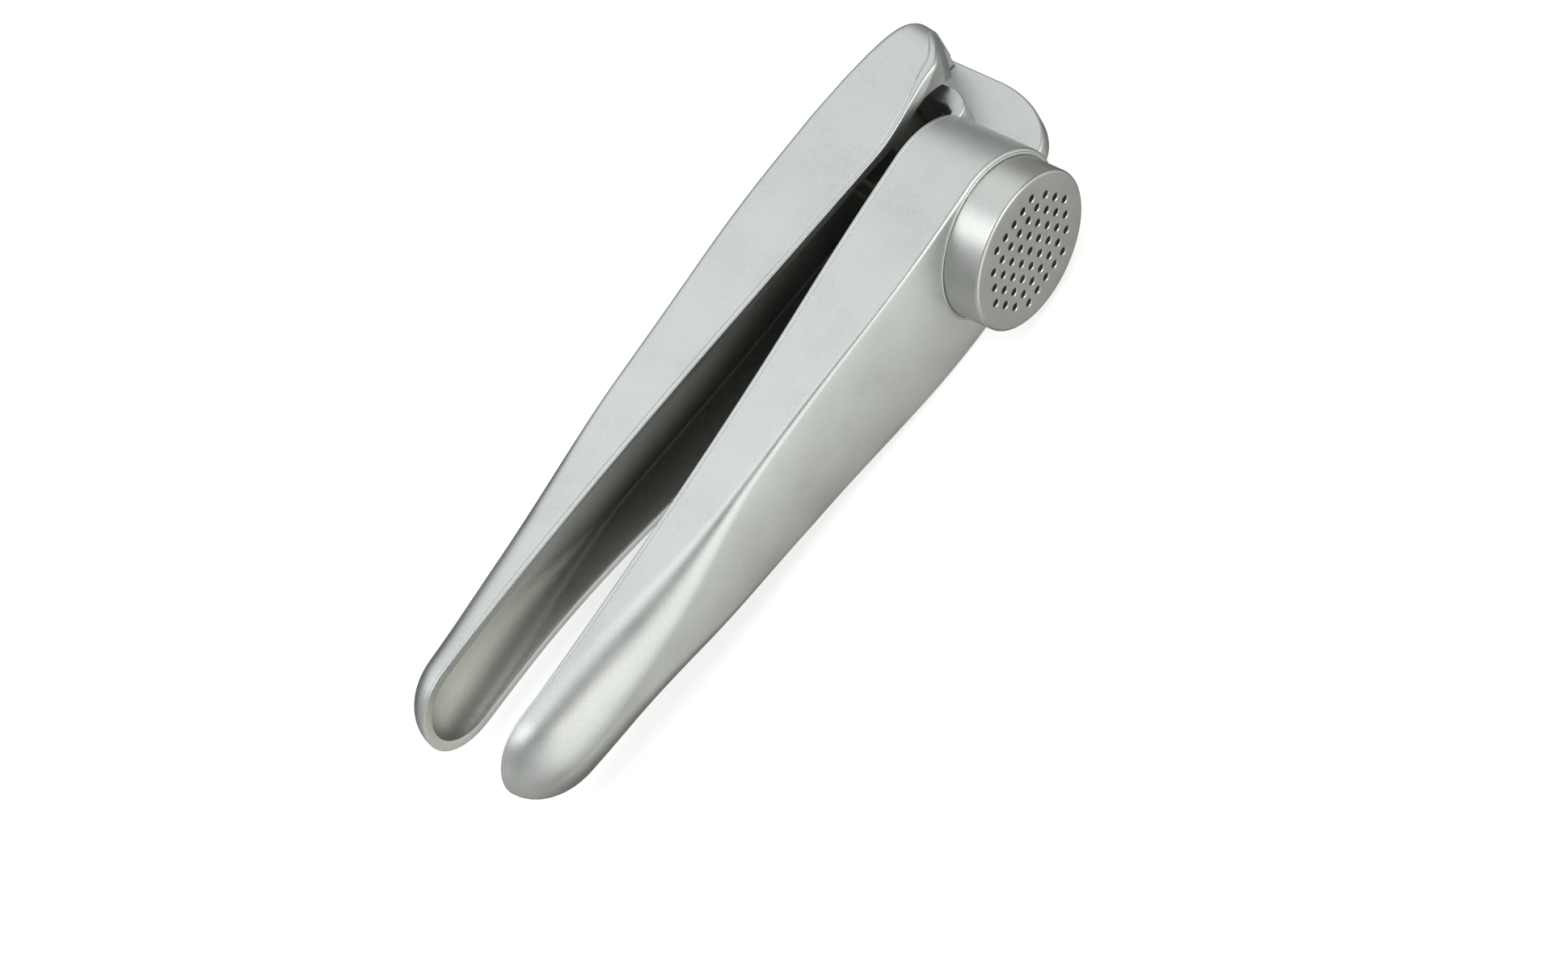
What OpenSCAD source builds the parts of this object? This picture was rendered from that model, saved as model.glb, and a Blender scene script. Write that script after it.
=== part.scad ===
// Garlic press with cast channel handles, a drop-in sieve cup and a hinged plunger.
// The press lies on one flank, with its two pins upright.
// X runs from the grips to the head, Y from the sieve to the upper handle, Z across the press.

/* [Handles] */
// Distance from the chamber axis to the tips of the handles
reach = 142.5; // [135:0.5:150]
// Half width of the press at the head
head_half_w = 18.4; // [18.2:0.1:19]
// Half width of the handles near their tips
grip_half_w = 12; // [11:0.5:13]
// Wall thickness of the handle channels
wall = 2.3; // [2:0.1:2.6]
// How far the handles stand open in the modelled pose, in degrees
rest_opening = 7.5; // [0:0.5:30]

/* [Lower handle] */
// Height of the bottom of the head above the sieve face
head_bottom = 8.3; // [8:0.1:9]
// Height of the rim of the lower handle above the sieve face
rim_h = 26.5; // [26:0.1:26.6]
// Thickness of the fin behind the head
fin_t = 4.8; // [4:0.1:5]

/* [Upper handle] */
// Height of the back of the closed upper handle above the sieve face
back_h = 45.4; // [45.2:0.1:46]
// How far the hood of the upper handle reaches past the chamber axis
hood_reach = 29.2; // [28.9:0.1:29.6]

/* [Sieve cup] */
// Outer radius of the cup
cup_r = 17; // [16.8:0.1:17]
// Wall thickness of the cup
cup_wall = 1.8; // [1.6:0.1:1.8]
// Thickness of the perforated floor
floor_t = 2; // [1.8:0.1:2.2]
// Diameter of one sieve hole
hole_d = 1.7; // [1.4:0.1:2]
// Distance between neighbouring holes of a row
hole_pitch = 3.13; // [2.9:0.01:3.2]

/* [Plunger] */
// Radius of the pressing foot
foot_r = 13.4; // [12.8:0.1:13.4]
// Thickness of the pressing foot
foot_t = 3.5; // [3:0.1:4]

/* [Pins] */
// Diameter of the pin that joins the handles
pivot_d = 5; // [4:0.1:5]
// Diameter of the pin that carries the plunger
plunger_pin_d = 4; // [3:0.1:4]

/* [Hidden] */

$fn = 96;
clear = 0.05;                      // radial clearance of a part that runs or drops in
side_gap = 0.3;                    // gap beside a turning knuckle
casting = [0.77, 0.78, 0.76];
steel = [0.66, 0.67, 0.68];

// Hinge of the handles, and the arm from it to the plunger pin
pivot = [21.5, 38];
arm = 22.8;
arm_closed = 27.4;                 // degrees that the arm hangs below level when closed
function arm_at(opening) =
    let (a = arm_closed - opening) pivot - arm * [cos(a), sin(a)];
pin_closed = arm_at(0);
pin_rest = arm_at(rest_opening);
foot_closed = 3.7;                 // height of the foot's underside when closed

// The frame's origin lies under the middle of the press, on the surface that it lies on
hood_lean = 0.42;                  // how much further the hood reaches when open
mid_x = (hood_reach + hood_lean - reach) / 2;

// Cup seat
flange_t = 1.2;
flange_r = cup_r + 0.5;
flange_top = 20.5;
seat_h = flange_top - flange_t;

// Rounded tips of the handles
tip_len = 12.5;
upper_tip = -reach + 0.1;

// Knuckle of the lower handle
knuckle_half = 9.2;
knuckle_r = 4.2;
room_half = knuckle_half + side_gap;
swing_r = 14;
plate_near = 17;
plate_far = 21;
fin_start = plate_near + 0.5;
fin_x = 28.7;                      // how far the fin reaches

// Rims, and the end of the hood
rim_cut = 0.75;                    // chamfer round both rims
hood_start = 11;                   // where the end of the hood begins
hood_end_t = 2.6;                  // thickness of the hood's end
hood_square = 5.5;                 // how square the hood's end is in plan, outside
hood_round = 2;                    // and inside, where it is an ellipse
tab_t = 1.3;                       // thickness of the tabs beside the slot

// Boss and lugs of the upper handle
boss_r = 3.9;
boss_end = 15.6;
lug_in = 4.3;
lug_out = 8.2;
lug_r = 4.2;
stem_half = 4;

// Smooth step from 0 to 1 while t goes from 0 to 1
function step01(t) = let (u = min(1, max(0, t))) u * u * (3 - 2 * u);
// How far along the grip a place is, for the round section of the tips
function roundness(x) = step01((-x - 65) / 62);
// Half width of both handles along the grip
function half_w(x) = grip_half_w + (head_half_w - grip_half_w) * step01((x + 115) / 110);
// Rim of the lower handle, and rim and back of the closed upper handle
function rim_low(x) = rim_h + 3.1 * step01((-x - 35) / 95) + step01((-x - 122) / 20);
function rim_up(x) =
    let (t = -x / 160)
    x > 0 ? rim_h + 0.6 + 3.3 * step01(x / 22) + 8.5 * pow(max(0, x - 21) / 8, 1.6)
          : rim_h + 0.6 + 34 * t * t * pow(1 - t, 1.2);
function belly(x) =
    let (u = -x - 14)
    head_bottom + 0.05 * (u + sqrt(u * u + 64))
    + 0.9 * step01((-x - 22) / 38) - 1.2 * step01((-x - 68) / 30) + 1.2 * step01((-x - 120) / 22);
function back(x) = back_h
    - (x > 0 ? 0.0016 * x * x : -0.045 * x)
    + 0.5 * exp(-pow((x + 25) / 18, 2))
    - 1.6 * step01((-x - 108) / 32);
// Fraction of the full section left at a place near a rounded end of the given length
function end_part(d, len) = d >= len ? 1 : sqrt(max(0, 1 - pow(1 - d / len, 2.2)));

// Height that the back of the open upper handle reaches at a place x of the closed one
function top_at(x) =
    let (h = rim_up(x) + (back(x) - rim_up(x)) * end_part(x - upper_tip, tip_len))
    pivot[1] + (pivot[0] - x) * sin(rest_opening) + (h - pivot[1]) * cos(rest_opening);
mid_y = max([for (x = grip_places(upper_tip, tip_len, -90)) top_at(x)]) / 2;

// One section across a channel, from its half width, rim, base, fillet and rim chamfer
corner_n = 7;
function section(w, rim, base, rz, rh, cut) =
    let (
        s = sign(base - rim),
        half = concat(
            cut > 0 ? [[w - min(cut, w / 3), rim], [w, rim + s * min(cut, abs(base - rim) / 3)]]
                    : [[w, rim]],
            [for (i = [0:corner_n]) let (a = 90 * i / corner_n)
                [w - rz + rz * cos(a), base - s * rh + s * rh * sin(a)]]),
        n = len(half),
        other = [for (i = [1:n]) [-half[n - i][0], half[n - i][1]]])
    s > 0 ? concat(half, other) : [for (i = [1:2 * n]) concat(half, other)[2 * n - i]];

// Solid through sections at the places xs; every section has the same number of points
module loft(xs, sections) {
    n = len(sections[0]);
    m = len(xs);
    points = [for (i = [0:m - 1]) for (p = sections[i]) [xs[i], p[1], p[0]]];
    sides = [for (i = [0:m - 2]) for (j = [0:n - 1])
        let (a = i * n + j, b = i * n + (j + 1) % n) each [[a, b, a + n], [b, b + n, a + n]]];
    ends = [[for (j = [0:n - 1]) n - 1 - j], [for (j = [0:n - 1]) (m - 1) * n + j]];
    polyhedron(points, concat(sides, ends), convexity = 4);
}

// Places along a handle, closer together at its round tip
function grip_places(tip, len, from) = concat(
    [for (i = [1:9]) tip + len * pow(i / 9, 2.4)],
    [for (i = [1:14]) tip + len + (from - tip - len) * i / 14]);

// Fillets of a section with half width w and depth d at the place x, drawn in by t
function fillet_z(x, w, t) = max(0.6, 1.5 - t + (0.9 * w - 1.5 + t) * roundness(x));
function fillet_h(x, d, t) = max(0.6, 1.5 - t + (0.85 * d - 1.5 + t) * roundness(x));

in_len = tip_len - wall;
head_places = [for (i = [1:11]) head_half_w * sin(8 * i)];

function low_section(x, t, tip, len, lift) =
    let (
        k = end_part(x - tip, len),
        w = (x > 0 ? sqrt(pow(head_half_w, 2) - x * x) : half_w(x)) - t,
        d = (rim_low(x) - belly(x) - t * 1.05) * k,
        wk = max(0.05, w * k))
    section(wk, rim_low(x) + lift, rim_low(x) - max(0.3, d),
        min(wk * 0.95, fillet_z(x, wk, t)), min(max(0.3, d) * 0.6, fillet_h(x, d, t)),
        t == 0 ? rim_cut : 0);

// Half width w drawn in over the end of the hood
function hood_w(x, end, w, square) =
    let (u = max(0, x - hood_start) / (end - hood_start))
    w * pow(max(0.0001, 1 - pow(u, square)), 1 / square);
function up_section(x, t, tip, len, end, drop) =
    let (
        k = end_part(x - tip, len),
        th = t == 0 ? 0 : t + 1.2 * step01((x + 5) / 15),
        w = hood_w(x, end, half_w(x) - th, t == 0 ? hood_square : hood_round),
        nose = t > 0 ? 0 : 3.2 * (1 - sqrt(max(0, 1 - pow(max(0, x - end + 5) / 5.05, 2)))),
        d = (back(x) - rim_up(x) - t * 1.05 - nose) * k,
        wk = max(0.05, w * k))
    section(wk, rim_up(x) - drop, rim_up(x) + max(0.3, d),
        min(wk * 0.95, fillet_z(x, wk, t)), min(max(0.3, d) * 0.6, fillet_h(x, d, t)),
        t == 0 ? rim_cut : 0);

module low_outer() {
    xs = concat(grip_places(-reach, tip_len, 0), head_places);
    loft(xs, [for (x = xs) low_section(x, 0, -reach, tip_len, 0)]);
}
module low_inner() {
    tip = -reach + wall;
    xs = grip_places(tip, in_len, -cup_r - 4);
    loft(xs, [for (x = xs) low_section(x, wall, tip, in_len, 2)]);
}
hood_steps = [for (i = [0:10]) 1 - pow(1 - i / 10, 2.2)];
module up_outer() {
    xs = concat(grip_places(upper_tip, tip_len, hood_start - 1),
        [for (s = hood_steps) hood_start + (hood_reach - hood_start) * s]);
    loft(xs, [for (x = xs) up_section(x, 0, upper_tip, tip_len, hood_reach, 0)]);
}
module up_inner() {
    tip = upper_tip + wall;
    end = hood_reach - hood_end_t;
    xs = concat(grip_places(tip, in_len, hood_start - 1),
        [for (s = hood_steps) hood_start + (end - hood_start) * s]);
    loft(xs, [for (x = xs) up_section(x, wall, tip, in_len, end, 2)]);
}

// Round bar along Z between two heights, at a place [x, y]
module bar(at, r, from, to) {
    translate([at[0], at[1], from])
        cylinder(r = r, h = to - from);
}
// Cylinder along Y, on the chamber axis
module on_axis(r, from, to) {
    translate([0, from, 0])
        rotate([-90, 0, 0])
            cylinder(r = r, h = to - from);
}
// Flat block between two corners
module block(a, b) {
    translate(a)
        cube(b - a);
}
// Puts what is modelled around the chamber axis into the frame of the part
module in_frame() {
    translate([-mid_x, -mid_y, head_half_w])
        children();
}
// Turns what is modelled on the closed upper handle to the rest pose
module opened() {
    translate([pivot[0], pivot[1], 0])
        rotate([0, 0, -rest_opening])
            translate([-pivot[0], -pivot[1], 0])
                children();
}

// Central fin behind the head, which carries the knuckle
module fin() {
    low = head_bottom + 0.4;
    curve = [for (i = [0:8]) let (a = -90 + 90 * i / 8)
        [fin_start + (fin_x - fin_start) * cos(a), 26 + (26 - low) * sin(a)]];
    translate([0, 0, -fin_t / 2])
        linear_extrude(fin_t)
            polygon(concat([[fin_start, 30]], curve, [[fin_x, pivot[1] + 0.4], [pivot[0], pivot[1] + 0.4]]));
}
// Cross plate and barrel that the pivot pin runs in
plate = [[plate_near, pivot[1]], [plate_near, 28.6], [plate_near - 0.5, 27.6], [12, 27],
         [12, 24.8], [17.4, 24.8], [18.6, 25.2], [19.6, 26], [20.3, 27.2], [plate_far, 29.3],
         [plate_far, pivot[1]]];
module knuckle() {
    translate([0, 0, -knuckle_half])
        linear_extrude(2 * knuckle_half)
            polygon(plate);
    bar(pivot, knuckle_r, -knuckle_half, knuckle_half);
}

module lower_handle() {
    color(casting)
        in_frame()
            difference() {
                union() {
                    low_outer();
                    fin();
                    knuckle();
                }
                low_inner();
                on_axis(cup_r + clear, head_bottom - 5, seat_h + 1);
                on_axis(flange_r + clear, seat_h, 29);
                bar(pivot, pivot_d / 2 + clear, -knuckle_half - 1, knuckle_half + 1);
            }
}

// Room for what swings about the pivot, between two angles and within half a width
module swing(from, to, half) {
    translate([pivot[0], pivot[1], -half])
        linear_extrude(2 * half)
            polygon(concat([[0, 0]],
                [for (i = [0:8]) let (a = from + (to - from) * i / 8) swing_r * [cos(a), sin(a)]]));
}
// Slot that the fin passes through while the press opens, and room for the plate and the barrel
module hinge_room() {
    swing(-80, 76, fin_t / 2 + side_gap);
    swing(-150, -6, room_half);
    bar(pivot, knuckle_r + side_gap, -room_half, room_half);
}
// Small tabs on both sides of the slot, at the end of the hood
tab = [[29, 41.5], [28.5, 38.9], [28.1, 37.4], [27.3, 37.4], [27.1, 38], [27.6, 41.5]];
module tabs() {
    for (side = [-1, 1])
        translate([0, 0, side * (fin_t / 2 + side_gap + tab_t / 2) - tab_t / 2])
            linear_extrude(tab_t)
                polygon(tab);
}
// Bosses for the pivot pin and lugs for the plunger pin, on both sides
module seats() {
    for (side = [-1, 1]) {
        bar(pivot, boss_r, min(side * room_half, side * boss_end), max(side * room_half, side * boss_end));
        bar(pin_closed, lug_r, min(side * lug_in, side * lug_out), max(side * lug_in, side * lug_out));
        block([pin_closed[0] - lug_r, pin_closed[1], min(side * lug_in, side * lug_out)],
            [pin_closed[0] + lug_r, back_h - wall + 0.5, max(side * lug_in, side * lug_out)]);
    }
}
module upper_handle() {
    color(casting)
        in_frame()
            opened()
                difference() {
                    union() {
                        difference() {
                            up_outer();
                            up_inner();
                            hinge_room();
                        }
                        seats();
                        tabs();
                    }
                    bar(pivot, pivot_d / 2, -head_half_w - 1, boss_end - 0.6);
                    bar(pin_closed, plunger_pin_d / 2, -lug_out - 1, lug_out + 1);
                }
}

// Columns of the sieve: number of holes in each, from one side to the other
columns = [5, 7, 8, 9, 8, 7, 5];
column_gap = hole_pitch * 2 / sqrt(3);
module sieve_holes() {
    middle = (len(columns) - 1) / 2;
    for (c = [0:len(columns) - 1])
        for (i = [0:columns[c] - 1])
            translate([(i - (columns[c] - 1) / 2) * hole_pitch, -1, (c - middle) * column_gap])
                rotate([-90, 0, 0])
                    cylinder(r = hole_d / 2, h = floor_t + 2, $fn = 24);
}
module sieve_cup() {
    inner = cup_r - cup_wall;
    edge = 0.5;
    color(casting)
        in_frame()
            difference() {
                rotate([-90, 0, 0])
                    rotate_extrude()
                        polygon(concat(
                            [[0, 0]],
                            [for (a = [-90:30:0]) [cup_r - edge + edge * cos(a), edge + edge * sin(a)]],
                            [[cup_r, seat_h], [flange_r, seat_h], [flange_r, flange_top],
                             [inner, flange_top], [inner, floor_t], [0, floor_t]]));
                sieve_holes();
            }
}

// Moves what is modelled on the closed plunger to the rest pose
module lifted() {
    translate([pin_rest[0] - pin_closed[0], pin_rest[1] - pin_closed[1], 0])
        translate([pin_closed[0], 0, 0])
            children();
}
spigot_r = 3;
module plunger_foot() {
    color(casting)
        in_frame()
            lifted()
                translate([0, foot_closed, 0])
                    rotate([-90, 0, 0])
                        rotate_extrude()
                            polygon([[spigot_r, 0], [foot_r - 0.4, 0], [foot_r, 0.4], [foot_r, foot_t - 0.8],
                                     [foot_r - 0.8, foot_t], [spigot_r, foot_t]]);
}
module plunger_stem() {
    top = pin_closed[1];
    base = foot_closed + foot_t;
    color(casting)
        in_frame()
            lifted()
                difference() {
                    union() {
                        on_axis(spigot_r, foot_closed, base);
                        translate([0, base, 0])
                            rotate([-90, 0, 0])
                                rotate_extrude()
                                    polygon([[0, 0], [8, 0], [8, 1.2], [5.5, 3], [0, 3]]);
                        block([-3.2, base, -stem_half], [3.2, top, stem_half]);
                        bar([0, top], 4, -stem_half, stem_half);
                    }
                    bar([0, top], plunger_pin_d / 2 + clear, -stem_half - 1, stem_half + 1);
                }
}

module pivot_pin() {
    color(steel)
        in_frame()
            bar(pivot, pivot_d / 2, -head_half_w + 0.8, boss_end - 0.6);
}
module plunger_pin() {
    color(steel)
        in_frame()
            bar(pin_rest, plunger_pin_d / 2, -lug_out - 0.4, lug_out + 0.4);
}

lower_handle();
upper_handle();
sieve_cup();
plunger_foot();
plunger_stem();
pivot_pin();
plunger_pin();
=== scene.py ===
"""Looks of the garlic press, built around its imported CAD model.

Shapes are worked out in millimetres around the chamber: x runs along the handles towards the head,
h up from the sieve face towards the upper handle, z across the press. new_mesh() puts them in the frame.
"""
import math

import bmesh
import bpy
import numpy as np
from mathutils import Matrix, Vector


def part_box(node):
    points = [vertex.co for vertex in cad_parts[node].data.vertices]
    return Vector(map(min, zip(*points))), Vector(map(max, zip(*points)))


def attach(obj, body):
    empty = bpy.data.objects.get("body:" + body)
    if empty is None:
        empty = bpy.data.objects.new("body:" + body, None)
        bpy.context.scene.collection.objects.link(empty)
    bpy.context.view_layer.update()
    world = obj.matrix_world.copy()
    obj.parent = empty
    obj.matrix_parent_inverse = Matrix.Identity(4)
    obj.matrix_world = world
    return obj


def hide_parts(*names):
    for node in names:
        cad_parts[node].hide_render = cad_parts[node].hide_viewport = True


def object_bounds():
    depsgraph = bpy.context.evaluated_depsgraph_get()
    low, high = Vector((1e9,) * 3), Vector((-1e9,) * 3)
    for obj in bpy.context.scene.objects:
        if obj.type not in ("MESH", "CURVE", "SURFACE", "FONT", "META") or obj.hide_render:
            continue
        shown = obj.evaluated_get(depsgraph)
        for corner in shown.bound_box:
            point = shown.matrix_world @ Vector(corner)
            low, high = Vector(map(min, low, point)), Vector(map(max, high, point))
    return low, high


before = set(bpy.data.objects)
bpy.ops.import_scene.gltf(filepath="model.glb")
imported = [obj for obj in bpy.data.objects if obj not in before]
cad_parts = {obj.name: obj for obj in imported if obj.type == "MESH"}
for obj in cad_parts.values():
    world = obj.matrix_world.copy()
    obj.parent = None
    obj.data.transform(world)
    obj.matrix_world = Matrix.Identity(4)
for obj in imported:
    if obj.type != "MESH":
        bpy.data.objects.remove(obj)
cad_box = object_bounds()

MM = 0.001
cup_low, cup_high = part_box("sieve_cup")
CHAMBER = Vector(((cup_low.x + cup_high.x) / 2, cup_low.y, (cup_low.z + cup_high.z) / 2))

# ---- Driving sizes, in millimetres ----
REACH = 142.42         # from the chamber axis to the tip of the lower handle
UPPER_TIP = -REACH + 0.1
TIP_LEN = 12.5
TIP_POWER = 2.2        # how square the tips are in plan and in profile
HEAD_HALF_W = 18.4
GRIP_HALF_W = 12.0
WALL = 2.3
WALL_ACROSS = 1.05     # thickness of the back and the bottom, as a share of the wall
WELL_END = -24.0       # where the hollow of the lower handle ends, short of the chamber
HEAD_BOTTOM = 8.3
RIM_H = 26.5
BACK_H = 45.39
CROWN = 1.1            # how much the bottom of the lower handle swells between its edges
CRISP = 0.75           # how much sharper its edges are at the head
FILLET_HEAD = 1.5      # rounding between flank and back, or bottom, at the head
FILLET_LEAST = 0.6
TIP_ROUND_W = 0.9      # at the tips, as a share of the half width
TIP_ROUND_H = 0.85     # and of the depth
MOST_W = 0.95          # the largest such shares anywhere
MOST_H = 0.9
HOOD_START = 11.0
HOOD_REACH = 29.2
HOOD_SQUARE = 5.5      # how square the hood's end is in plan, outside
HOOD_ROUND = 2.0       # and inside, where it is an ellipse
HOOD_END_T = 2.6
HOOD_WALL = 1.2        # how much thicker the hood's cheeks are than the wall
NOSE = 1.1             # how much larger the rounding is at the hood's end
TAB_T = 1.3
CUP_R = 17.0
CUP_WALL = 1.8
FLOOR_T = 2.0
HOLE_D = 1.7
HOLE_PITCH = 3.13
COLUMNS = (5, 7, 8, 9, 8, 7, 5)
SEAT_H = 19.3
FLANGE_TOP = 20.5
FLANGE_R = 17.5
GAP = 0.05             # running clearance of the pins and the cup
SEAT_GAP = 0.08        # clearance round the cup's flange
ROOM = 0.3             # clearance between the castings at the hinge
REST_OPENING = 7.5     # degrees
PIVOT = (21.5, 38.0)
ARM = 22.8
ARM_CLOSED = 27.4
PIVOT_PIN_R = 2.5
PLUNGER_PIN_R = 2.0
FOOT_R = 13.4
FOOT_T = 3.5
FOOT_CLOSED = 3.7
KNUCKLE_HALF = 9.2
KNUCKLE_R = 4.2
PLATE_NEAR = 17.0
PLATE_FAR = 21.0
FIN_START = 17.3
FIN_X = 28.7
FIN_T = 4.8
SWING_R = 14.0         # reach of the room that the lower handle's fin and plate swing in
BOSS_R = 3.4
BOSS_GAP = 0.32        # from the barrel, a little over ROOM so that no two faces coincide
BOSS_END = 15.65
LUG_IN = 4.3
LUG_OUT = 8.2
LUG_R = 4.2
STEM_HALF = 4.0
STEM_HEAD_R = 4.0
STEM_HALF_W = 3.2
SPIGOT_R = 3.0         # where the stem goes through the foot
SHOULDER_R = 8.0       # where it rests on the foot


def arm_at(opening):
    a = math.radians(ARM_CLOSED - opening)
    return PIVOT[0] - ARM * math.cos(a), PIVOT[1] - ARM * math.sin(a)


PIN_CLOSED = arm_at(0)
PIN_REST = arm_at(REST_OPENING)
LIFT = PIN_REST[1] - PIN_CLOSED[1]


# ---- Outlines of the handles ----
def step01(t):
    u = np.clip(t, 0.0, 1.0)
    return u * u * (3 - 2 * u)


def roundness(x):
    return step01((-x - 65) / 62)


def half_w(x):
    return GRIP_HALF_W + (HEAD_HALF_W - GRIP_HALF_W) * step01((x + 115) / 110)


def rim_low(x):
    return RIM_H + 3.1 * step01((-x - 35) / 95) + step01((-x - 122) / 20)


def rim_up(x):
    t = np.maximum(-x, 0) / 160
    grip = RIM_H + 0.6 + 34 * t * t * (1 - t) ** 1.2
    return grip + 3.3 * step01(x / 22) + 8.5 * (np.maximum(x - 21, 0) / 8) ** 1.6


def belly(x):
    u = -x - 14
    bumps = 0.9 * step01((-x - 22) / 38) - 1.2 * step01((-x - 68) / 30) + 1.2 * step01((-x - 120) / 22)
    return HEAD_BOTTOM + 0.05 * (u + np.sqrt(u * u + 64)) + bumps


def back(x):
    slope = np.where(x > 0, 0.0016 * x * x, -0.045 * x)
    return BACK_H - slope + 0.5 * np.exp(-((x + 25) / 18) ** 2) - 1.6 * step01((-x - 108) / 32)


def end_part(d, length):
    """Share of its full size that a handle has at the distance d from its tip."""
    return np.sqrt(np.maximum(0, 1 - np.maximum(0, 1 - d / length) ** TIP_POWER))


def fillet(x, size, share, t, crisp=0.0):
    """Rounding between the flanks and the back or the bottom: least at the head, full at the tips."""
    least = FILLET_HEAD - crisp * (1 - step01((-x - 25) / 50))
    return np.maximum(FILLET_LEAST, least - t + (share * size - least + t) * roundness(x))


def quarter(q):
    """How far a quarter ellipse has dropped at the share q of its width."""
    return 1 - np.sqrt(np.maximum(0, 1 - np.clip(q, 0, 1) ** 2))


def low_base(x, z, t):
    """Height of the lower handle's bottom, outside for t = 0 or inside for t = the wall, at (x, z)."""
    tip, length = -REACH + t, TIP_LEN - t
    xs = np.minimum(x, 0)
    k = end_part(xs - tip, length)
    w = np.maximum(0.05, (half_w(xs) - t) * k)
    d = np.maximum(0.3, (rim_low(xs) - belly(xs) - WALL_ACROSS * t) * k)
    rz = np.minimum(MOST_W * w, fillet(xs, w, TIP_ROUND_W, t, CRISP))
    rh = np.minimum(MOST_H * d, fillet(xs, d, TIP_ROUND_H, t, CRISP))
    across = np.where(x > 0, np.hypot(x, z), np.abs(z))
    crown = CROWN * ((z / half_w(xs)) ** 2 - 0.65) * (1 - roundness(xs)) * (t == 0)
    return rim_low(xs) - d + crown + rh * quarter((across - w + rz) / rz)


def up_wall(x, t):
    return t + HOOD_WALL * step01((x + 5) / 15) if t else 0 * x


def hood_end(t):
    """How far the hood reaches and how square it is, outside for t = 0 or inside."""
    return (HOOD_REACH - HOOD_END_T, HOOD_ROUND) if t else (HOOD_REACH, HOOD_SQUARE)


def nose(along, t):
    """Outside only, how much larger the rounding is at the share along of the way to the hood's end."""
    return 1 + NOSE * step01(along) * (t == 0)


def up_top(x, z, t):
    """Height of the closed upper handle's back, outside for t = 0 or inside for t = the wall, at (x, z)."""
    tip, length = UPPER_TIP + t, TIP_LEN - t
    k = end_part(x - tip, length)
    w = np.maximum(0.05, (half_w(x) - up_wall(x, t)) * k)
    d = np.maximum(0.3, (back(x) - rim_up(x) - WALL_ACROSS * t) * k)
    rz = np.minimum(MOST_W * w, fillet(x, w, TIP_ROUND_W, t))
    rh = np.minimum(MOST_H * d, fillet(x, d, TIP_ROUND_H, t))
    end, square = hood_end(t)
    along = np.maximum(0, x - HOOD_START) / (end - HOOD_START)
    edge = (along ** square + (np.abs(z) / w) ** square) ** (1 / square)
    larger = nose(along, t)
    q = (edge - 1 + larger * rz / w) / (larger * rz / w)
    return rim_up(x) + d - larger * rh * quarter(q)


TIP_STEPS, BODY_STEPS, END_STEPS = 24, 70, 44


def tip_outline(tip, length, width):
    """Half of a handle's round tip in plan, from its point to where it is full width."""
    turn = np.linspace(0, math.pi / 2, TIP_STEPS + 1)
    x = tip + length * (1 - np.cos(turn) ** (2 / TIP_POWER))
    return np.stack([x, width(x) * np.sin(turn)], 1)


def body_outline(start, end, width):
    x = np.linspace(start, end, BODY_STEPS + 1)[1:]
    return np.stack([x, width(x)], 1)


def both_sides(half):
    """Closed outline from the half with z >= 0, which starts and ends on the middle plane."""
    other = half[1:-1][::-1] * [1, -1]
    return np.concatenate([half, other])


def inward(outline):
    """Unit normals of a closed outline, towards its inside."""
    along = np.roll(outline, -1, 0) - np.roll(outline, 1, 0)
    along /= np.linalg.norm(along, axis=1)[:, None]
    return np.stack([along[:, 1], -along[:, 0]], 1)


def low_outline(t):
    """The lower handle in plan: outside round the head for t = 0, or its hollow for t = the wall."""
    def width(x):
        return half_w(x) - t

    tip = tip_outline(-REACH + t, TIP_LEN - t, width)
    turn = np.linspace(0, math.pi / 2, END_STEPS + 1)[1:]
    if t:
        body = body_outline(-REACH + TIP_LEN, WELL_END, width)
        side = width(WELL_END)
        end = np.stack([WELL_END + 3 * np.sin(turn) ** 0.5, side * np.cos(turn) ** 0.28], 1)
        end[-1, 1] = 0
    else:
        body = body_outline(-REACH + TIP_LEN, 0.0, width)
        end = HEAD_HALF_W * np.stack([np.sin(turn), np.cos(turn)], 1)
    return both_sides(np.concatenate([tip, body, end]))


def up_outline(t):
    """The upper handle in plan, round its tip and the square end of its hood."""
    def width(x):
        return half_w(x) - up_wall(x, t)

    tip = tip_outline(UPPER_TIP + t, TIP_LEN - t, width)
    body = body_outline(UPPER_TIP + TIP_LEN, HOOD_START, width)
    turn = np.linspace(0, math.pi / 2, END_STEPS + 1)[1:]
    reach, square = hood_end(t)
    power = 2 / square
    x = HOOD_START + (reach - HOOD_START) * np.sin(turn) ** power
    z = width(x) * np.maximum(np.cos(turn), 0) ** power
    z[-1] = 0
    return both_sides(np.concatenate([tip, body, np.stack([x, z], 1)]))


def spine(outline, start, end):
    """Where the middle plane is met from each point of an outline."""
    return np.stack([np.clip(outline[:, 0], start, end), 0 * outline[:, 1]], 1)


# ---- Mesh helpers ----
def new_mesh(name, points, faces):
    """A piece from points in millimetres around the chamber."""
    mesh = bpy.data.meshes.new(name)
    placed = [CHAMBER + Vector(p) * MM for p in points]
    mesh.from_pydata(placed, [], faces)
    mesh.update()
    obj = bpy.data.objects.new(name, mesh)
    bpy.context.scene.collection.objects.link(obj)
    return obj


def tidy(obj, weld=0.004):
    """Welds points that coincide, drops empty faces and turns all faces outwards."""
    bm = bmesh.new()
    bm.from_mesh(obj.data)
    bmesh.ops.remove_doubles(bm, verts=bm.verts, dist=weld * MM)
    bmesh.ops.dissolve_degenerate(bm, edges=bm.edges, dist=weld * MM)
    bmesh.ops.recalc_face_normals(bm, faces=bm.faces)
    bm.to_mesh(obj.data)
    bm.free()


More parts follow.
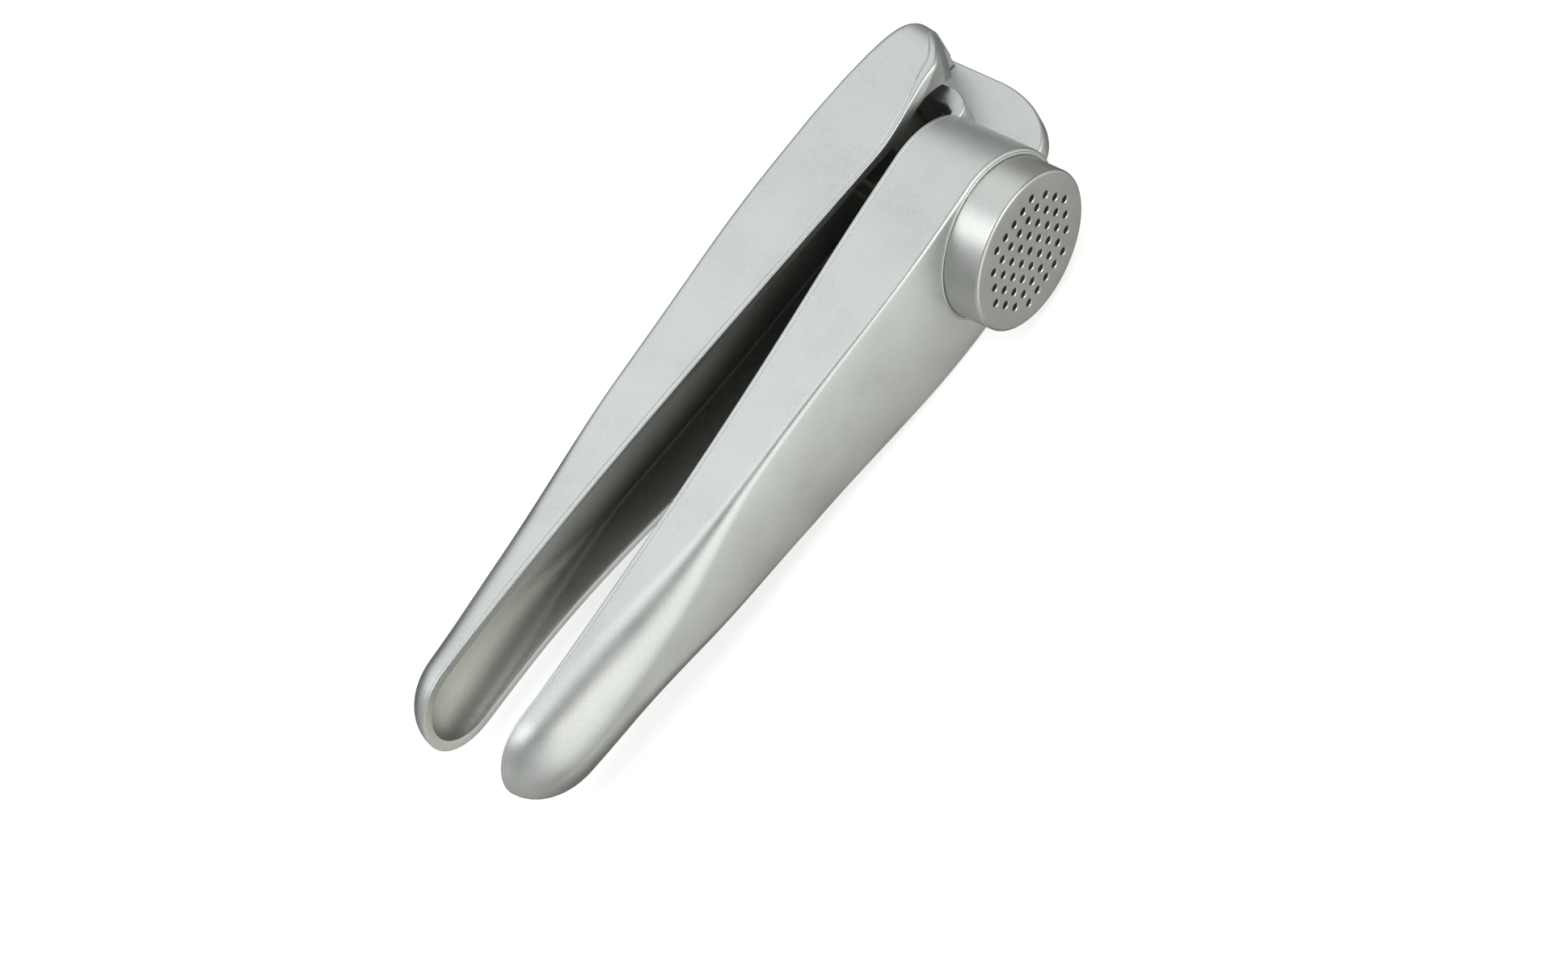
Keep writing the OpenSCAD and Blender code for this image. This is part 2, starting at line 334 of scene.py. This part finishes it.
def smooth(obj, degrees=32):
    obj.data.shade_smooth()
    obj.data.set_sharp_from_angle(angle=math.radians(degrees))


def bake_modifiers(obj):
    depsgraph = bpy.context.evaluated_depsgraph_get()
    mesh = bpy.data.meshes.new_from_object(obj.evaluated_get(depsgraph))
    obj.modifiers.clear()
    obj.data = mesh


def combine(obj, tool, how):
    """Cuts tool from obj, or joins it on, and removes the tool."""
    modifier = obj.modifiers.new(how, "BOOLEAN")
    modifier.operation = how
    modifier.solver = "EXACT"
    modifier.object = tool
    bake_modifiers(obj)
    bpy.data.objects.remove(tool)


def bevel(obj, width, segments=3, degrees=35):
    modifier = obj.modifiers.new("bevel", "BEVEL")
    modifier.width = width * MM
    modifier.segments = segments
    modifier.angle_limit = math.radians(degrees)
    modifier.harden_normals = False
    bake_modifiers(obj)


def shell(name, rings):
    """A closed solid through rings of equally many points, the first and last folded on a line."""
    n = len(rings[0])
    points = np.concatenate(rings)
    faces = []
    for r in range(len(rings) - 1):
        for i in range(n):
            j = (i + 1) % n
            faces.append((r * n + i, r * n + j, (r + 1) * n + j, (r + 1) * n + i))
    obj = new_mesh(name, points, faces)
    tidy(obj)
    return obj


def revolve(name, profile, axis="h", at=(0.0, 0.0), steps=192):
    """A turned solid. profile has (radius, place along the axis). axis h is the chamber's, z a pin's."""
    points, faces = [], []
    n = len(profile)
    for k in range(steps):
        a = 2 * math.pi * k / steps
        for r, along in profile:
            if axis == "h":
                points.append((at[0] + r * math.cos(a), along, at[1] + r * math.sin(a)))
            else:
                points.append((at[0] + r * math.cos(a), at[1] + r * math.sin(a), along))
    for k in range(steps):
        for i in range(n - 1):
            a, b = k * n + i, ((k + 1) % steps) * n + i
            faces.append((a, b, b + 1, a + 1))
    obj = new_mesh(name, points, faces)
    tidy(obj)
    return obj


def prism(name, outline, low, high):
    """A solid with the outline [(x, h)] between two places across the press."""
    n = len(outline)
    points = [(x, h, low) for x, h in outline] + [(x, h, high) for x, h in outline]
    faces = [tuple(range(n)), tuple(range(2 * n - 1, n - 1, -1))]
    faces += [(i, (i + 1) % n, n + (i + 1) % n, n + i) for i in range(n)]
    obj = new_mesh(name, points, faces)
    tidy(obj)
    return obj


def drum(radius, low, high):
    """Profile of a plain cylinder for revolve()."""
    return [(0, low), (radius, low), (radius, high), (0, high)]


def arc(at, radius, start, end, count=25):
    turn = np.radians(np.linspace(start, end, count))
    return [(at[0] + radius * math.cos(a), at[1] + radius * math.sin(a)) for a in turn]


def rounded(profile, radius, steps=5):
    """A turned profile with its corners rounded. Its first and last points stay."""
    pts = [np.array(p, float) for p in profile]
    out = [tuple(pts[0])]
    for a, b, c in zip(pts, pts[1:], pts[2:]):
        to_a, to_c = a - b, c - b
        la, lc = np.linalg.norm(to_a), np.linalg.norm(to_c)
        cut = min(radius, la * 0.45, lc * 0.45)
        start, end = b + to_a / la * cut, b + to_c / lc * cut
        for k in range(steps + 1):
            t = k / steps
            out.append(tuple((1 - t) ** 2 * start + 2 * t * (1 - t) * b + t * t * end))
    out.append(tuple(pts[-1]))
    return out


# ---- Handles ----
EDGE = 0.42            # rounding of the rims
FILLET_STEPS = 12
FLOOR_STEPS = 7


def surface_rings(outline, middle, height, fillet_share, from_middle):
    """Rings over the bottom or the back, between the middle plane and the outline."""
    turn = np.linspace(0, math.pi / 2, FILLET_STEPS + 1)
    share = np.concatenate([fillet_share[None] * (1 - np.cos(turn))[:, None],
                            fillet_share[None] + (1 - fillet_share[None])
                            * np.linspace(0, 1, FLOOR_STEPS + 1)[1:, None]])
    rings = []
    for s in share:
        p = outline + (middle - outline) * s[:, None]
        rings.append(np.stack([p[:, 0], height(p[:, 0], p[:, 1]), p[:, 1]], 1))
    return rings[::-1] if from_middle else rings


def wall_ring(outline, normal, offset, h):
    p = outline + normal * np.reshape(offset + 0 * h, (-1, 1))
    return np.stack([p[:, 0], h, p[:, 1]], 1)


# The fine line along the rims: distance below the rim and depth.
GROOVE = ((1.30, 0.0), (1.12, 0.0), (1.00, 0.13), (0.88, 0.0), (0.70, 0.0))
RIM_BAND = 1.5         # height of the rim's band, which holds the line and the rounding


def channel(name, outside, inside, out_mid, in_mid, out_h, in_h, out_share, in_share, rim, sign):
    """A hollow handle. sign is 1 where the hollow opens upwards, -1 where it opens downwards."""
    n_out, n_in = inward(outside), inward(inside)
    rings = surface_rings(outside, out_mid, out_h, out_share, True)
    start_h = rings[-1][:, 1]
    rim_out, rim_in = rim(outside[:, 0]), rim(inside[:, 0])
    room = np.abs(rim_out - start_h)
    wide = 1 + 1.2 * step01((outside[:, 0] - 12) / 10) * (sign < 0)
    small = np.minimum(1, room / (2.2 * wide)) * wide
    for share in (0.12, 0.3, 0.5, 0.7, 0.88):
        band = rim_out - sign * RIM_BAND * small
        rings.append(wall_ring(outside, n_out, 0, start_h + (band - start_h) * share))
    for below, deep in GROOVE:
        rings.append(wall_ring(outside, n_out, deep * small / wide, rim_out - sign * below * small))
    for a in np.linspace(0, math.pi / 2, 6):
        e = EDGE * small
        h = rim_out - sign * e * (1 - math.sin(a))
        rings.append(wall_ring(outside, n_out, e * (1 - math.cos(a)), h))
    inner = surface_rings(inside, in_mid, in_h, in_share, False)
    end_h = inner[0][:, 1]
    small = np.minimum(1, np.abs(rim_in - end_h) / 1.2)
    for a in np.linspace(math.pi / 2, 0, 6):
        e = EDGE * small
        h = rim_in - sign * e * (1 - math.sin(a))
        rings.append(wall_ring(inside, n_in, -e * (1 - math.cos(a)), h))
    for share in (0.3, 0.6, 0.85):
        h = rim_in - sign * EDGE * small
        rings.append(wall_ring(inside, n_in, 0, h + (end_h - h) * share))
    return shell(name, rings + inner)


def low_share(outline, t):
    """How much of the way from the outline to the middle plane the rounding takes."""
    x = np.minimum(outline[:, 0], 0)
    xs = np.maximum(x, -REACH + TIP_LEN)
    w = half_w(xs) - t
    return np.minimum(MOST_W, fillet(xs, w, TIP_ROUND_W, t, CRISP) / w)


def up_share(outline, t):
    xs = np.clip(outline[:, 0], UPPER_TIP + TIP_LEN, HOOD_REACH)
    w = half_w(xs) - up_wall(xs, t)
    larger = nose((outline[:, 0] - HOOD_START) / (HOOD_REACH - HOOD_START), t)
    return np.minimum(MOST_W, larger * fillet(xs, w, TIP_ROUND_W, t) / w)


def make_lower_handle():
    outside, inside = low_outline(0), low_outline(WALL)
    focus = -REACH + TIP_LEN
    out_mid = spine(outside, focus, 0.0)
    in_mid = spine(inside, focus, WELL_END)
    obj = channel("lower_handle_shell", outside, inside, out_mid, in_mid,
                  lambda x, z: low_base(x, z, 0), lambda x, z: low_base(x, z, WALL),
                  low_share(outside, 0), low_share(inside, WALL), rim_low, 1)
    for make_part in (make_fin, make_plate, make_barrel):
        combine(obj, make_part(), "UNION")
    flange = FLANGE_R + SEAT_GAP
    low, top = 2, 32
    bore = revolve("bore", [(0, low), (CUP_R + GAP, low), (CUP_R + GAP, SEAT_H), (flange, SEAT_H),
                            (flange, top), (0, top)], steps=256)
    combine(obj, bore, "DIFFERENCE")
    combine(obj, make_collar(), "UNION")
    through = KNUCKLE_HALF + 2
    pin_bore = revolve("pin_bore", drum(PIVOT_PIN_R + GAP, -through, through), "z", PIVOT, 64)
    combine(obj, pin_bore, "DIFFERENCE")
    tidy(obj)
    smooth(obj)
    return obj


def make_collar():
    """The thin raised collar of the lower handle round the cup."""
    turns, sides, size = 192, 16, 0.34
    middle = CUP_R + 0.1 + size
    points, faces = [], []
    for k in range(turns):
        a = 2 * math.pi * k / turns
        x, z = middle * math.cos(a), middle * math.sin(a)
        top = float(low_base(np.array(x), np.array(z), 0)) + 0.08
        for i in range(sides):
            b = 2 * math.pi * i / sides
            r = middle + size * math.cos(b)
            points.append((r * math.cos(a), top + size * math.sin(b), r * math.sin(a)))
    for k in range(turns):
        for i in range(sides):
            j, n = (i + 1) % sides, (k + 1) % turns
            faces.append((k * sides + i, n * sides + i, n * sides + j, k * sides + j))
    collar = new_mesh("collar", points, faces)
    tidy(collar)
    return collar


def make_fin():
    """The rounded fin behind the head, which carries the knuckle."""
    low, middle, top = HEAD_BOTTOM + 0.9, 26, PIVOT[1] + 0.4
    turn = np.linspace(-math.pi / 2, 0, 24)
    curve = [(FIN_START + (FIN_X - FIN_START) * math.cos(a), middle + (middle - low) * math.sin(a))
             for a in turn]
    outline = [(FIN_START, 30), *curve, (FIN_X, top), (PIVOT[0], top)]
    fin = prism("fin", outline, -FIN_T / 2, FIN_T / 2)
    bevel(fin, 0.7, 4)
    return fin


def make_plate():
    """The cross plate, whose lower edge curves towards the cup."""
    outline = [(PLATE_NEAR, PIVOT[1]), (PLATE_NEAR, 28.8), (16.2, 27.3), (12.6, 26.9), (12.6, 25.0),
               (17.4, 24.9), (18.6, 25.25), (19.6, 26.05), (20.3, 27.2), (20.8, 28.4), (PLATE_FAR, 29.6),
               (PLATE_FAR, PIVOT[1])]
    plate = prism("plate", outline, -KNUCKLE_HALF, KNUCKLE_HALF)
    bevel(plate, 0.5, 3, 40)
    return plate


def make_barrel():
    return revolve("barrel", rounded(drum(KNUCKLE_R, -KNUCKLE_HALF, KNUCKLE_HALF), 0.3), "z", PIVOT, 96)


def make_upper_handle():
    outside, inside = up_outline(0), up_outline(WALL)
    focus = UPPER_TIP + TIP_LEN
    out_mid = spine(outside, focus, HOOD_START)
    in_mid = spine(inside, focus, HOOD_START)
    obj = channel("upper_handle_shell", outside, inside, out_mid, in_mid,
                  lambda x, z: up_top(x, z, 0), lambda x, z: up_top(x, z, WALL),
                  up_share(outside, 0), up_share(inside, WALL), rim_up, -1)
    slot_half = FIN_T / 2 + ROOM
    room = KNUCKLE_HALF + ROOM
    for start, end, half in ((-80, 76, slot_half), (-150, -6, room)):
        sector = [PIVOT] + arc(PIVOT, SWING_R, start, end, 24)
        combine(obj, prism("swing_room", sector, -half, half), "DIFFERENCE")
    barrel_room = revolve("barrel_room", drum(KNUCKLE_R + ROOM, -room, room), "z", PIVOT, 96)
    combine(obj, barrel_room, "DIFFERENCE")
    for side in (-1, 1):
        near, far = sorted((side * (KNUCKLE_HALF + BOSS_GAP), side * BOSS_END))
        combine(obj, revolve("boss", rounded(drum(BOSS_R, near, far), 0.25), "z", PIVOT, 96), "UNION")
        combine(obj, make_lug(*sorted((side * LUG_IN, side * LUG_OUT))), "UNION")
        combine(obj, make_tab(*sorted((side * slot_half, side * (slot_half + TAB_T)))), "UNION")
    tidy(obj)
    smooth(obj)
    turn_open(obj)
    return obj


def make_lug(near, far):
    """One of the two lugs that hold the plunger's pin."""
    top = BACK_H - 2
    outline = arc(PIN_CLOSED, LUG_R, 180, 360)
    outline += [(PIN_CLOSED[0] + LUG_R, top), (PIN_CLOSED[0] - LUG_R, top)]
    lug = prism("lug", outline, near, far)
    bevel(lug, 0.35, 3)
    return lug


def make_tab(near, far):
    """One of the two small tabs beside the slot in the hood's end."""
    outline = [(29, 41.5), (28.5, 38.9), (28.1, 37.4), (27.3, 37.4), (27.1, 38), (27.6, 41.5)]
    tab = prism("tab", outline, near, far)
    bevel(tab, 0.3, 3)
    return tab


def turn_open(obj):
    """Turns the closed upper handle about the pivot pin to its place in the frame."""
    at = CHAMBER + Vector((PIVOT[0], PIVOT[1], 0)) * MM
    turn = Matrix.Rotation(math.radians(-REST_OPENING), 4, "Z")
    obj.data.transform(Matrix.Translation(at) @ turn @ Matrix.Translation(-at))


# ---- Cup, plunger and pins ----
def hole_places():
    """Middles (x, z) of the sieve's holes, in columns on a triangular grid."""
    row_gap = HOLE_PITCH * 2 / math.sqrt(3)
    for c, count in enumerate(COLUMNS):
        for i in range(count):
            yield (i - (count - 1) / 2) * HOLE_PITCH, (c - (len(COLUMNS) - 1) / 2) * row_gap


def make_cup():
    inner = CUP_R - CUP_WALL
    outside = rounded([(0, 0), (CUP_R, 0), (CUP_R, SEAT_H), (FLANGE_R, SEAT_H), (FLANGE_R, FLANGE_TOP),
                       (inner, FLANGE_TOP), (inner, FLOOR_T), (0, FLOOR_T)], 0.8)
    cup = revolve("sieve_cup_turned", outside, steps=256)
    points, faces = [], []
    r, lip, sides = HOLE_D / 2, 0.16, 28
    profile = [(r + 2 * lip, -lip), (r, lip), (r, FLOOR_T - lip), (r + 2 * lip, FLOOR_T + lip)]
    for x, z in hole_places():
        base = len(points)
        for rad, h in profile:
            for k in range(sides):
                a = 2 * math.pi * k / sides
                points.append((x + rad * math.cos(a), h, z + rad * math.sin(a)))
        for p in range(len(profile) - 1):
            for k in range(sides):
                a, b = base + p * sides + k, base + p * sides + (k + 1) % sides
                faces.append((a, b, b + sides, a + sides))
        faces.append(tuple(base + k for k in range(sides)))
        faces.append(tuple(base + (len(profile) - 1) * sides + sides - 1 - k for k in range(sides)))
    drills = new_mesh("drills", points, faces)
    tidy(drills, 0.001)
    combine(cup, drills, "DIFFERENCE")
    smooth(cup, 40)
    return cup


def shade_hollow(obj, material, inside, opening=0.0):
    """Gives the hollow of a handle, where inside(x, h, z) holds, a darker metal: painted shade in the
    hollow.
    """
    obj.data.materials.append(material)
    c, s = math.cos(math.radians(opening)), math.sin(math.radians(opening))
    at = np.array([(face.center - CHAMBER) / MM for face in obj.data.polygons])
    dx, dh = at[:, 0] - PIVOT[0], at[:, 1] - PIVOT[1]
    x, h, z = PIVOT[0] + dx * c - dh * s, PIVOT[1] + dx * s + dh * c, at[:, 2]
    obj.data.polygons.foreach_set("material_index", inside(x, h, z).astype(np.int32))


def in_lower(x, h, z):
    return (x < -20) & (np.abs(z) < half_w(x) - WALL + 0.02) & (h > low_base(x, z, WALL) - 0.3)


def in_upper(x, h, z):
    end, square = hood_end(WALL)
    along = np.clip((x - HOOD_START) / (end - HOOD_START), 0, 1)
    within = np.abs(z) < (half_w(x) - up_wall(x, WALL)) * (1 - along ** square) ** (1 / square) + 0.02
    return within & (x < end) & (h < up_top(x, z, WALL) + 0.3)


SIEVE_DEPTH = 0.03     # depth that still counts as the sieve's flat face
HOLE_START = 0.25      # depth from which a hole counts as inside


def darken_sieve(cup, face_material, hollow_shade_material):
    """Gives the flat of the sieve a darker metal, and paints shade inside its holes and the cup with the
    hollows' darker metal.
    """
    cup.data.materials.append(face_material)
    cup.data.materials.append(hollow_shade_material)
    for face in cup.data.polygons:
        at = (face.center - CHAMBER) / MM
        if math.hypot(at.x, at.z) < CUP_R - CUP_WALL:
            face.material_index = 1 if at.y < SIEVE_DEPTH else 2 if at.y > HOLE_START else 0
        elif at.y < SIEVE_DEPTH:
            face.material_index = 1


def make_foot():
    low = FOOT_CLOSED + LIFT
    profile = [(SPIGOT_R, low), (FOOT_R, low), (FOOT_R, low + FOOT_T - 0.8), (FOOT_R - 0.8, low + FOOT_T),
               (SPIGOT_R, low + FOOT_T), (SPIGOT_R, low)]
    foot = revolve("plunger_foot_turned", rounded(profile, 0.3), at=(PIN_REST[0], 0.0))
    smooth(foot)
    return foot


def make_stem():
    x, low = PIN_REST[0], FOOT_CLOSED + LIFT
    base = low + FOOT_T
    profile = [(0, low), (SPIGOT_R, low), (SPIGOT_R, base), (SHOULDER_R, base), (SHOULDER_R, base + 1.2),
               (5.5, base + 3), (0, base + 3)]
    stem = revolve("plunger_stem_cast", rounded(profile, 0.35), at=(x, 0.0), steps=128)
    neck, foot = PIN_REST[1] - STEM_HEAD_R, base + 0.5
    outline = arc(PIN_REST, STEM_HEAD_R, 0, 180)
    outline += [(x - STEM_HALF_W, neck), (x - STEM_HALF_W, foot)]
    outline += [(x + STEM_HALF_W, foot), (x + STEM_HALF_W, neck)]
    blade = prism("blade", outline, -STEM_HALF, STEM_HALF)
    bevel(blade, 0.45, 3)
    combine(stem, blade, "UNION")
    combine(stem, revolve("hole", drum(PLUNGER_PIN_R + GAP, -6, 6), "z", PIN_REST, 64), "DIFFERENCE")
    smooth(stem)
    return stem


def make_pin(name, at, radius, low, high):
    pin = revolve(name, rounded(drum(radius, low, high), 0.35), "z", at, 96)
    smooth(pin)
    return pin


# ---- Materials ----
def nodes_of(name):
    material = bpy.data.materials.new(name)
    material.use_nodes = True
    tree = material.node_tree
    return material, tree, tree.nodes["Principled BSDF"]


def add(tree, kind, **values):
    node = tree.nodes.new(kind)
    for key, value in values.items():
        if key in node.inputs:
            node.inputs[key].default_value = value
        else:
            setattr(node, key, value)
    return node


TIP_LIGHT_START, TIP_LIGHT_FULL = 0.075, 0.01     # metres from the end of the handles, over which painted light makes the colour paler towards the tips


def cast_metal(name, light, dark, rough, grain=0.35, tip_light=0.0):
    """Bead-blasted cast aluminium: fine pits, cloudy tone, uneven gloss, and painted light that makes it
    paler towards the tips by tip_light.
    """
    material, tree, shader = nodes_of(name)
    link = tree.links.new
    coords = add(tree, "ShaderNodeTexCoord")
    clouds = add(tree, "ShaderNodeTexNoise", Scale=55.0, Detail=5.0, Roughness=0.6)
    fine = add(tree, "ShaderNodeTexNoise", Scale=4200.0, Detail=1.0, Roughness=0.5)
    pits = add(tree, "ShaderNodeTexNoise", Scale=2700.0, Detail=1.0)
    for node in (clouds, fine, pits):
        link(coords.outputs["Object"], node.inputs["Vector"])
    tone = add(tree, "ShaderNodeMath", operation="MULTIPLY_ADD")
    tone.inputs[1].default_value = 0.9
    link(fine.outputs["Fac"], tone.inputs[0])
    link(clouds.outputs["Fac"], tone.inputs[2])
    ramp = add(tree, "ShaderNodeValToRGB")
    ramp.color_ramp.elements[0].position = 0.62
    ramp.color_ramp.elements[0].color = (*dark, 1)
    ramp.color_ramp.elements[1].position = 1.28
    ramp.color_ramp.elements[1].color = (*light, 1)
    link(tone.outputs[0], ramp.inputs["Fac"])
    parts = add(tree, "ShaderNodeSeparateXYZ")
    link(coords.outputs["Object"], parts.inputs["Vector"])
    # Painted light: scales the colour up towards the tips of the handles.
    tip_light_gain = add(tree, "ShaderNodeMapRange", interpolation_type="SMOOTHSTEP")
    tip_light_gain.inputs["From Min"].default_value = cad_box[0].x + TIP_LIGHT_START
    tip_light_gain.inputs["From Max"].default_value = cad_box[0].x + TIP_LIGHT_FULL
    tip_light_gain.inputs["To Min"].default_value = 1.0
    tip_light_gain.inputs["To Max"].default_value = 1.0 + tip_light
    link(parts.outputs["X"], tip_light_gain.inputs["Value"])
    colour = add(tree, "ShaderNodeVectorMath", operation="SCALE")
    link(ramp.outputs["Color"], colour.inputs[0])
    link(tip_light_gain.outputs["Result"], colour.inputs["Scale"])
    link(colour.outputs["Vector"], shader.inputs["Base Color"])
    gloss = add(tree, "ShaderNodeMapRange")
    gloss.inputs["From Min"].default_value = 0.3
    gloss.inputs["From Max"].default_value = 0.7
    gloss.inputs["To Min"].default_value = rough - 0.04
    gloss.inputs["To Max"].default_value = rough + 0.05
    link(clouds.outputs["Fac"], gloss.inputs["Value"])
    link(gloss.outputs["Result"], shader.inputs["Roughness"])
    first = add(tree, "ShaderNodeBump", Strength=grain, Distance=0.00006)
    link(fine.outputs["Fac"], first.inputs["Height"])
    second = add(tree, "ShaderNodeBump", Strength=grain * 0.45, Distance=0.00008)
    link(pits.outputs["Fac"], second.inputs["Height"])
    link(first.outputs["Normal"], second.inputs["Normal"])
    link(second.outputs["Normal"], shader.inputs["Normal"])
    shader.inputs["Metallic"].default_value = 1.0
    return material


def turned_steel(name):
    material, tree, shader = nodes_of(name)
    link = tree.links.new
    coords = add(tree, "ShaderNodeTexCoord")
    rings = add(tree, "ShaderNodeTexNoise", Scale=900.0, Detail=2.0)
    link(coords.outputs["Object"], rings.inputs["Vector"])
    ramp = add(tree, "ShaderNodeValToRGB")
    ramp.color_ramp.elements[0].color = (0.42, 0.43, 0.44, 1)
    ramp.color_ramp.elements[1].color = (0.62, 0.63, 0.64, 1)
    link(rings.outputs["Fac"], ramp.inputs["Fac"])
    link(ramp.outputs["Color"], shader.inputs["Base Color"])
    shader.inputs["Metallic"].default_value = 1.0
    shader.inputs["Roughness"].default_value = 0.28
    return material


# ---- Stage ----
FLOOR_GLOW = 0.55
DIM = (0.09, 0.09, 0.085)
# Soft screens: the direction of each, the cosines where it starts and where it is full, and its colour.
SCREENS = (((0.214, 0.495, 0.842), 0.42, 0.88, (0.76, 0.79, 0.79)),
           ((-0.75, 0.45, 0.45), 0.45, 0.92, (0.42, 0.43, 0.43)),
           ((0.85, 0.47, 0.20), 0.50, 0.95, (0.20, 0.20, 0.19)),
           ((-0.75, 0.15, -0.65), 0.65, 0.95, (0.45, 0.45, 0.42)),
           ((-0.50, -0.86, -0.05), 0.50, 0.95, (0.50, 0.50, 0.49)),
           ((0.27, -0.93, -0.22), 0.38, 0.95, (0.88, 0.88, 0.82)))


def make_floor(height):
    """Pale paper that gives some light of its own and isn't mirrored in the metal."""
    bpy.ops.mesh.primitive_plane_add(size=6, location=(0, 0, height))
    floor = bpy.context.object
    floor.name = "floor"
    material, tree, shader = nodes_of("paper")
    noise = add(tree, "ShaderNodeTexNoise", Scale=400.0)
    ramp = add(tree, "ShaderNodeValToRGB")
    ramp.color_ramp.elements[0].color = (0.86, 0.86, 0.86, 1)
    ramp.color_ramp.elements[1].color = (0.90, 0.90, 0.90, 1)
    tree.links.new(noise.outputs["Fac"], ramp.inputs["Fac"])
    tree.links.new(ramp.outputs["Color"], shader.inputs["Base Color"])
    shader.inputs["Roughness"].default_value = 0.9
    shader.inputs["Emission Color"].default_value = (1, 1, 1, 1)
    shader.inputs["Emission Strength"].default_value = FLOOR_GLOW
    floor.data.materials.append(material)
    floor.visible_glossy = False


def make_light(name, location, target, size, power, colour=(1, 1, 1)):
    lamp = bpy.data.lights.new(name, "AREA")
    lamp.shape = "RECTANGLE"
    lamp.size, lamp.size_y = size
    lamp.energy = power
    lamp.color = colour
    obj = bpy.data.objects.new(name, lamp)
    bpy.context.scene.collection.objects.link(obj)
    obj.location = location
    obj.rotation_euler = (Vector(target) - Vector(location)).to_track_quat("-Z", "Y").to_euler()


def make_world():
    """A dim studio with broad soft screens. The brightest, slightly warm, is below the sieve."""
    world = bpy.data.worlds.new("studio")
    bpy.context.scene.world = world
    world.use_nodes = True
    tree = world.node_tree
    coords = add(tree, "ShaderNodeTexCoord")
    total = None
    for toward, start, full, colour in SCREENS:
        along = add(tree, "ShaderNodeVectorMath", operation="DOT_PRODUCT")
        along.inputs[1].default_value = toward
        tree.links.new(coords.outputs["Generated"], along.inputs[0])
        fade = add(tree, "ShaderNodeMapRange", interpolation_type="SMOOTHSTEP")
        fade.inputs["From Min"].default_value = start
        fade.inputs["From Max"].default_value = full
        tree.links.new(along.outputs["Value"], fade.inputs["Value"])
        glow = add(tree, "ShaderNodeVectorMath", operation="SCALE")
        glow.inputs[0].default_value = colour
        tree.links.new(fade.outputs["Result"], glow.inputs["Scale"])
        joined = add(tree, "ShaderNodeVectorMath", operation="ADD")
        tree.links.new(glow.outputs["Vector"], joined.inputs[0])
        if total:
            tree.links.new(total, joined.inputs[1])
        else:
            joined.inputs[1].default_value = DIM
        total = joined.outputs["Vector"]
    tree.links.new(total, tree.nodes["Background"].inputs["Color"])


CAMERA_AT = (-297.98, -525.04, 924.44)
CAMERA_RIGHT = Vector((0.54187, -0.77764, -0.31885))
CAMERA_UP = Vector((0.81274, 0.38819, 0.43446))
LENS = 130.15


def make_camera():
    """The camera looks down on the near flank, from the tips' side and from below the sieve."""
    camera = bpy.data.cameras.new("camera")
    camera.lens = LENS
    camera.sensor_width = 36
    camera.clip_start, camera.clip_end = 0.05, 20
    obj = bpy.data.objects.new("camera", camera)
    bpy.context.scene.collection.objects.link(obj)
    turn = Matrix((CAMERA_RIGHT, CAMERA_UP, CAMERA_RIGHT.cross(CAMERA_UP))).transposed()
    obj.matrix_world = Matrix.Translation(CHAMBER + Vector(CAMERA_AT) * MM) @ turn.to_4x4()
    bpy.context.scene.camera = obj


# ---- Assembly ----
def dress(obj, material, body, slot_name, *nodes):
    obj.data.materials.clear()
    obj.data.materials.append(material)
    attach(obj, body)
    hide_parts(*nodes)


make_camera()
casting = cast_metal("cast_aluminium", (0.64, 0.665, 0.66), (0.54, 0.56, 0.555), 0.42)
cup_metal = cast_metal("cup_aluminium", (0.63, 0.64, 0.62), (0.53, 0.54, 0.52), 0.34, 0.25)
sieve_metal = cast_metal("sieve_aluminium", (0.43, 0.44, 0.43), (0.35, 0.36, 0.35), 0.5, 0.25)
# Painted shade: a darker metal for the hollows of the handles and the inside of the cup, made paler towards
# the tips by painted light.
hollow_shade_metal = cast_metal("hollow_shade_aluminium", (0.42, 0.42, 0.40), (0.31, 0.31, 0.29), 0.5, tip_light=0.7)
plunger_metal = cast_metal("plunger_aluminium", (0.40, 0.40, 0.39), (0.30, 0.30, 0.29), 0.5)
steel = turned_steel("pin_steel")

lower_handle = make_lower_handle()
dress(lower_handle, casting, "lower", "handle_casting", "lower_handle")
shade_hollow(lower_handle, hollow_shade_metal, in_lower)
upper_handle = make_upper_handle()
dress(upper_handle, casting, "upper", "handle_casting", "upper_handle")
shade_hollow(upper_handle, hollow_shade_metal, in_upper, REST_OPENING)
cup = make_cup()
dress(cup, cup_metal, "lower", "cup_casting", "sieve_cup")
darken_sieve(cup, sieve_metal, hollow_shade_metal)
dress(make_foot(), plunger_metal, "plunger", "plunger_casting", "plunger_foot")
dress(make_stem(), plunger_metal, "plunger", "plunger_casting", "plunger_stem")
pivot_pin = make_pin("pivot_pin_turned", PIVOT, PIVOT_PIN_R, -HEAD_HALF_W + 0.8, 15.0)
dress(pivot_pin, steel, "upper", "pin_steel", "pivot_pin")
plunger_pin = make_pin("plunger_pin_turned", PIN_REST, PLUNGER_PIN_R, -LUG_OUT - 0.4, LUG_OUT + 0.4)
dress(plunger_pin, steel, "upper", "pin_steel", "plunger_pin")

make_floor(cad_box[0].z - 0.0002)
make_world()
make_light("softbox_above", (-0.5, 0.1, 1.5), (0, 0, 0), (1.0, 1.0), 4)
make_light("fill_below", (0.5, -1.2, 0.6), (0, 0, 0), (0.9, 0.7), 5, (1.0, 0.97, 0.92))

scene = bpy.context.scene
scene.view_settings.view_transform = "Standard"
